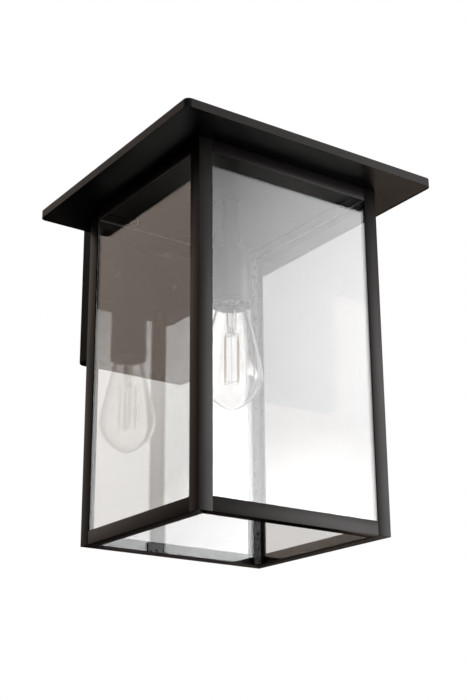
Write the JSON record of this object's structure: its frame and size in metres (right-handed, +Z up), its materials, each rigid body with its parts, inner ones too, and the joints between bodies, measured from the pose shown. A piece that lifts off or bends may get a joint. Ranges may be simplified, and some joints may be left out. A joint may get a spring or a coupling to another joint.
{
  "type": "outdoor wall lantern",
  "caption": "Open-bottomed glass box lantern on an angle-iron frame under a flat overhanging roof, hung from a shallow wall box by an arm, with a screw-in clear bulb.",
  "frame": {"origin": "on the wall, at the centre of the mounting strap's rear face", "axes": "+Z up, +Y into the wall, so the lantern stands out along -Y; +X to the right seen from the front"},
  "size_m": [0.305, 0.35, 0.448],
  "materials": {
    "frame_paint": "fine textured dark bronze-black powder coat",
    "roof_paint": "fine textured dark bronze-black powder coat",
    "wall_box_paint": "fine textured dark bronze-black powder coat",
    "holder_paint": "satin black paint",
    "black_hardware": "black phosphate and paint",
    "zinc_steel": "bright zinc plated",
    "brass": "plain",
    "gasket_foam": "closed-cell foam",
    "pad_rubber": "matt",
    "clear_sealant": "clear silicone",
    "connector_plastic": "moulded",
    "lead_black": "insulated wire",
    "lead_white": "insulated wire",
    "lead_green": "insulated wire",
    "holder_ceramic": "glazed porcelain",
    "pane_glass": "clear float glass with ground edges",
    "bulb_clear_glass": "clear blown glass",
    "bulb_cap_metal": "nickel-plated sheet",
    "bulb_black_glass": "fused black glass",
    "filament_phosphor": "silicone and phosphor coat",
    "bulb_wire_metal": "drawn wire"
  },
  "bodies": {
    "lantern": {"arm_cap": "roof_paint", "arm_flange": "roof_paint", "arm_screws": "zinc_steel", "bar_rivets": "zinc_steel", "bond_lead": "lead_black", "bond_ring": "zinc_steel", "bottom_rail_front": "frame_paint", "bottom_rail_left": "frame_paint", "bottom_rail_rear": "frame_paint", "bottom_rail_right": "frame_paint", "cap_nuts": "black_hardware", "centre_contact": "brass", "clip_screw": "black_hardware", "corner_sealant": "clear_sealant", "cup_locknut": "zinc_steel", "frame_nuts": "zinc_steel", "frame_screws": "black_hardware", "frame_washers": "black_hardware", "glass_clip": "black_hardware", "glass_pads": "pad_rubber", "ground_screw": "brass", "lead_earth": "lead_green", "lead_live": "lead_black", "lead_neutral": "lead_white", "mounting_strap": "zinc_steel", "pane_front": "pane_glass", "pane_left": "pane_glass", "pane_rear": "pane_glass", "pane_right": "pane_glass", "plate_studs": "zinc_steel", "post_front_left": "frame_paint", "post_front_right": "frame_paint", "post_rear_left": "frame_paint", "post_rear_right": "frame_paint", "roof_arm": "roof_paint", "roof_pan": "roof_paint", "roof_soffit": "roof_paint", "roof_spacer": "zinc_steel", "screw_shell": "brass", "socket_body": "holder_ceramic", "socket_cup": "holder_paint", "stem_locknut": "zinc_steel", "stem_nipple": "zinc_steel", "stem_tube": "holder_paint", "stud_bar": "zinc_steel", "top_rail_front": "frame_paint", "top_rail_left": "frame_paint", "top_rail_rear": "frame_paint", "top_rail_right": "frame_paint", "wall_box": "wall_box_paint", "wall_gasket": "gasket_foam", "wire_connectors": "connector_plastic"},
    "bulb_lift": {"bulb_contact": "brass", "bulb_insulator": "bulb_black_glass"},
    "bulb": {"bulb_cap": "bulb_cap_metal", "bulb_glass": "bulb_clear_glass", "bulb_mount": "bulb_clear_glass", "bulb_filaments": "filament_phosphor", "bulb_wires": "bulb_wire_metal"}
  },
  "joints": [
    {"name": "bulb_travel", "type": "slide", "parent": "lantern", "child": "bulb_lift", "axis": [0, 0, -1], "range_m": [0, 0.0218]},
    {"name": "bulb_turn", "type": "hinge", "parent": "bulb_lift", "child": "bulb", "pos_m": [0, -0.201, -0.08], "axis": [0, 0, -1], "range_deg": [0, 2160]}
  ],
  "couplings": [
    {"joint": "bulb_travel", "follows": "bulb_turn", "m_per_rad": 0.00057741}
  ]
}
